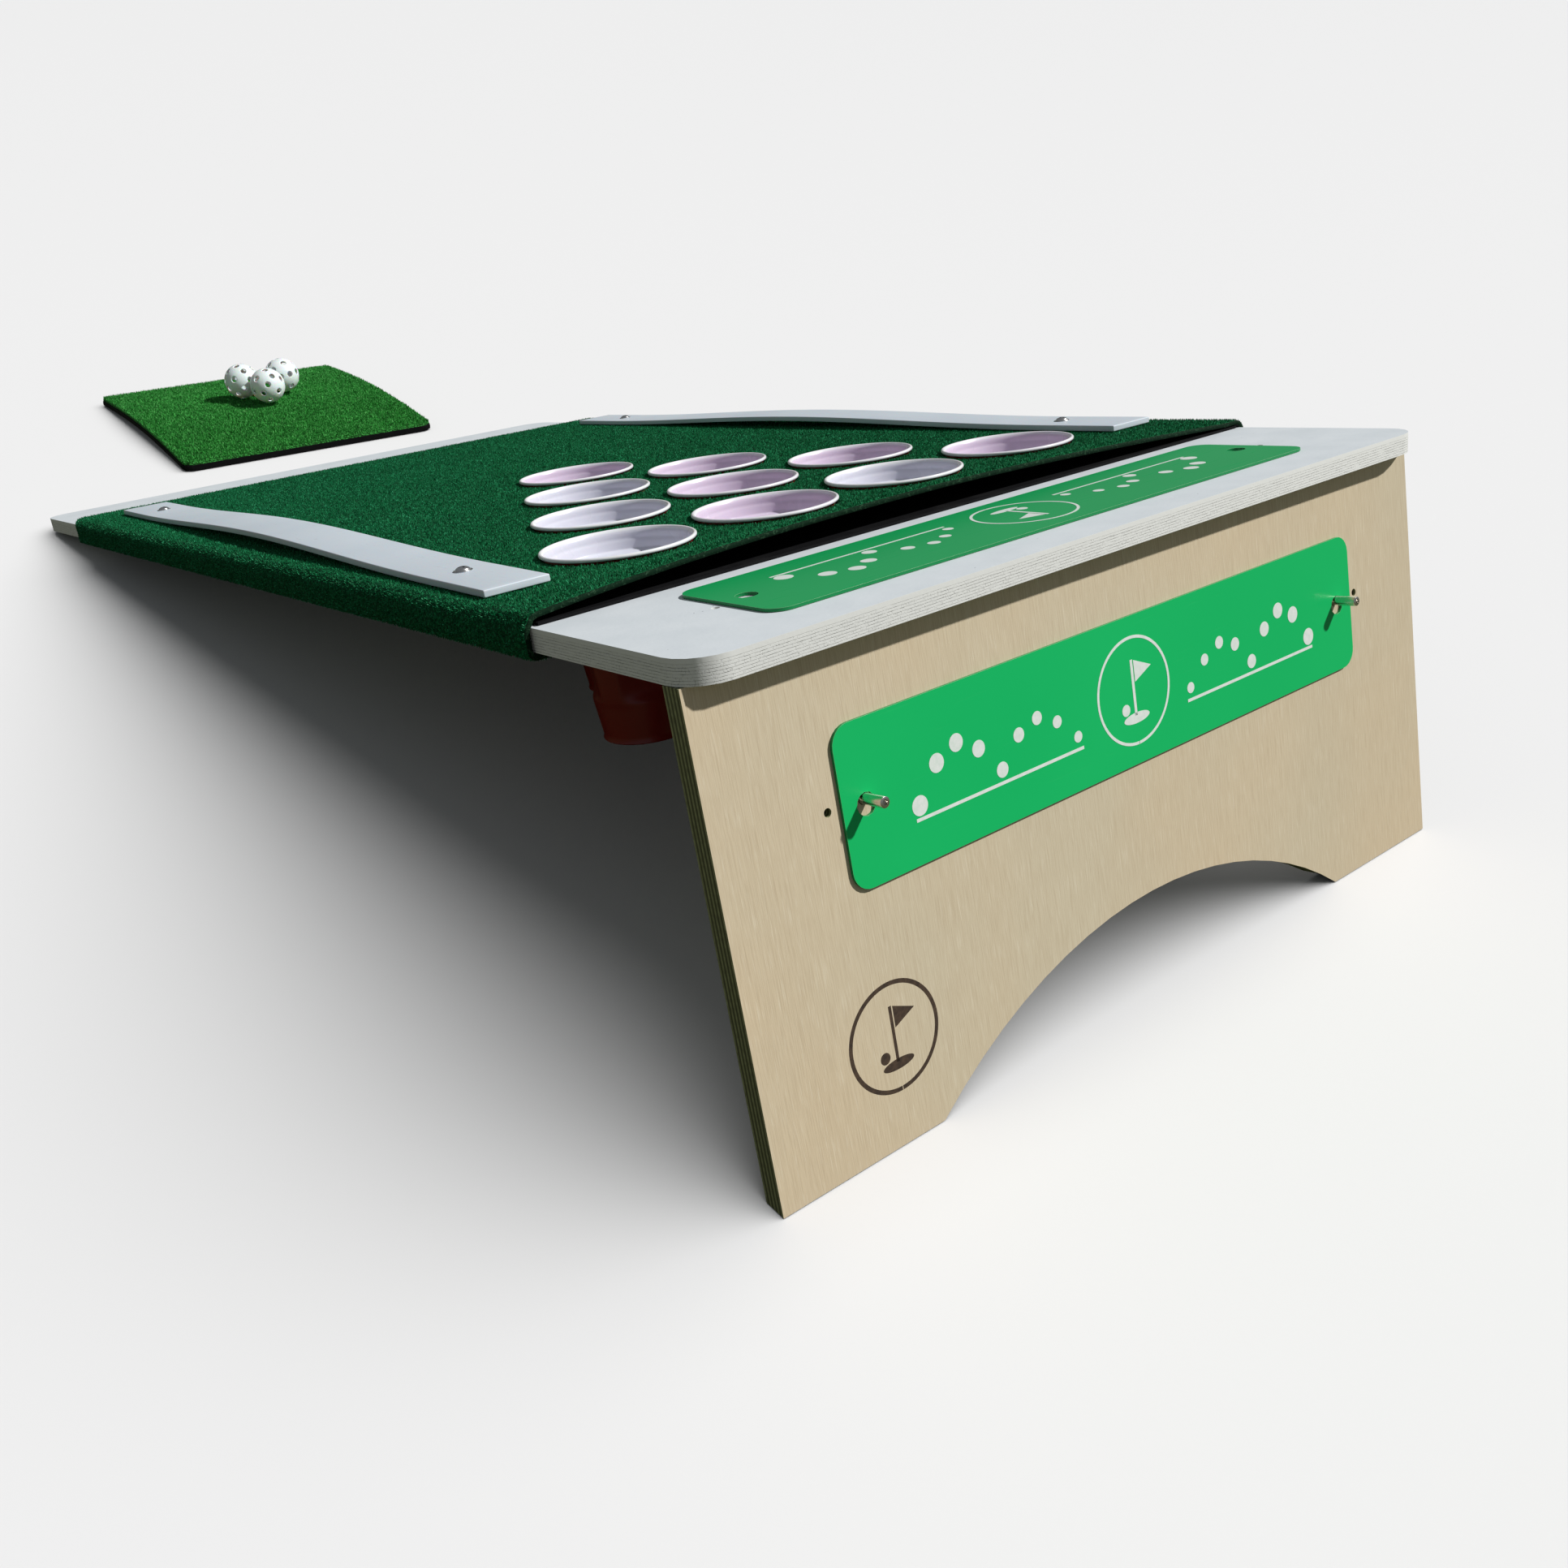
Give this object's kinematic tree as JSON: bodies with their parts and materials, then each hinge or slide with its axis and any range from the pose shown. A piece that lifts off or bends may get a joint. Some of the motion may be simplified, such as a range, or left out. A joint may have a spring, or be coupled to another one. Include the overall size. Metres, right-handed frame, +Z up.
{
  "type": "cup target board",
  "caption": "Sloping turf-topped target board with a triangle of sunken cups, a folding arched leg, side rails, and a loose hitting mat with perforated practice balls.",
  "frame": {"origin": "middle of the bounding box, on the ground", "axes": "+Z up; +Y from the raised end of the board towards the loose mat; +X across the board, to the right as seen from the raised end"},
  "size_m": [0.5886, 1.6324, 0.2681],
  "materials": {
    "painted_wood": "pale grey-white paint, satin",
    "birch": "clear varnish",
    "green_plate": "gloss",
    "dark_turf": "short dark pile",
    "bright_turf": "short bright pile",
    "black_rubber": "matt",
    "white_plastic": "satin",
    "red_cup": "gloss",
    "steel": "polished"
  },
  "bodies": {
    "board": {"base_board": "painted_wood", "underlay_sheet": "black_rubber", "turf_cover": "dark_turf", "header_sign_plate": "green_plate", "side_rail_left": "white_plastic", "side_rail_right": "white_plastic", "rail_screw_left_near": "steel", "rail_screw_left_far": "steel", "rail_screw_right_near": "steel", "rail_screw_right_far": "steel", "hinge_board_leaf_left": "steel", "hinge_board_leaf_right": "steel", "hinge_pin_left": "steel", "hinge_pin_right": "steel", "board_hinge_screw_left_1": "steel", "board_hinge_screw_left_2": "steel", "board_hinge_screw_right_1": "steel", "board_hinge_screw_right_2": "steel"},
    "leg": {"leg_panel": "birch", "leg_sign_plate": "green_plate", "sign_pin_left": "steel", "sign_pin_right": "steel", "hinge_leg_leaf_left": "steel", "hinge_leg_leaf_right": "steel", "leg_hinge_screw_left_1": "steel", "leg_hinge_screw_left_2": "steel", "leg_hinge_screw_right_1": "steel", "leg_hinge_screw_right_2": "steel"},
    "mat": {"mat_base": "black_rubber", "mat_turf": "bright_turf"},
    "cup_01_body": {"cup_01": "red_cup"},
    "cup_02_body": {"cup_02": "red_cup"},
    "cup_03_body": {"cup_03": "red_cup"},
    "cup_04_body": {"cup_04": "red_cup"},
    "cup_05_body": {"cup_05": "red_cup"},
    "cup_06_body": {"cup_06": "red_cup"},
    "cup_07_body": {"cup_07": "red_cup"},
    "cup_08_body": {"cup_08": "red_cup"},
    "cup_09_body": {"cup_09": "red_cup"},
    "cup_10_body": {"cup_10": "red_cup"},
    "ball_1_body": {"practice_ball_1": "white_plastic"},
    "ball_2_body": {"practice_ball_2": "white_plastic"},
    "ball_3_body": {"practice_ball_3": "white_plastic"}
  },
  "joints": [
    {"name": "leg_fold", "type": "hinge", "parent": "board", "child": "leg", "pos_m": [0, -0.7238, 0.24608], "axis": [1, 0, 0], "range_deg": [0, 62]},
    {"name": "cup_01_lift", "type": "slide", "parent": "board", "child": "cup_01_body", "axis": [0, 0.2216, 0.9751], "range_m": [0, 0.13]},
    {"name": "cup_02_lift", "type": "slide", "parent": "board", "child": "cup_02_body", "axis": [0, 0.2216, 0.9751], "range_m": [0, 0.13]},
    {"name": "cup_03_lift", "type": "slide", "parent": "board", "child": "cup_03_body", "axis": [0, 0.2216, 0.9751], "range_m": [0, 0.13]},
    {"name": "cup_04_lift", "type": "slide", "parent": "board", "child": "cup_04_body", "axis": [0, 0.2216, 0.9751], "range_m": [0, 0.13]},
    {"name": "cup_05_lift", "type": "slide", "parent": "board", "child": "cup_05_body", "axis": [0, 0.2216, 0.9751], "range_m": [0, 0.13]},
    {"name": "cup_06_lift", "type": "slide", "parent": "board", "child": "cup_06_body", "axis": [0, 0.2216, 0.9751], "range_m": [0, 0.13]},
    {"name": "cup_07_lift", "type": "slide", "parent": "board", "child": "cup_07_body", "axis": [0, 0.2216, 0.9751], "range_m": [0, 0.13]},
    {"name": "cup_08_lift", "type": "slide", "parent": "board", "child": "cup_08_body", "axis": [0, 0.2216, 0.9751], "range_m": [0, 0.13]},
    {"name": "cup_09_lift", "type": "slide", "parent": "board", "child": "cup_09_body", "axis": [0, 0.2216, 0.9751], "range_m": [0, 0.13]},
    {"name": "cup_10_lift", "type": "slide", "parent": "board", "child": "cup_10_body", "axis": [0, 0.2216, 0.9751], "range_m": [0, 0.13]},
    {"name": "mat_slide", "type": "slide", "parent": "board", "child": "mat", "axis": [0, 1, 0], "range_m": [0, 0.5]},
    {"name": "ball_1_lift", "type": "slide", "parent": "mat", "child": "ball_1_body", "axis": [0, 0, 1], "range_m": [0, 0.1]},
    {"name": "ball_2_lift", "type": "slide", "parent": "mat", "child": "ball_2_body", "axis": [0, 0, 1], "range_m": [0, 0.1]},
    {"name": "ball_3_lift", "type": "slide", "parent": "mat", "child": "ball_3_body", "axis": [0, 0, 1], "range_m": [0, 0.1]}
  ]
}
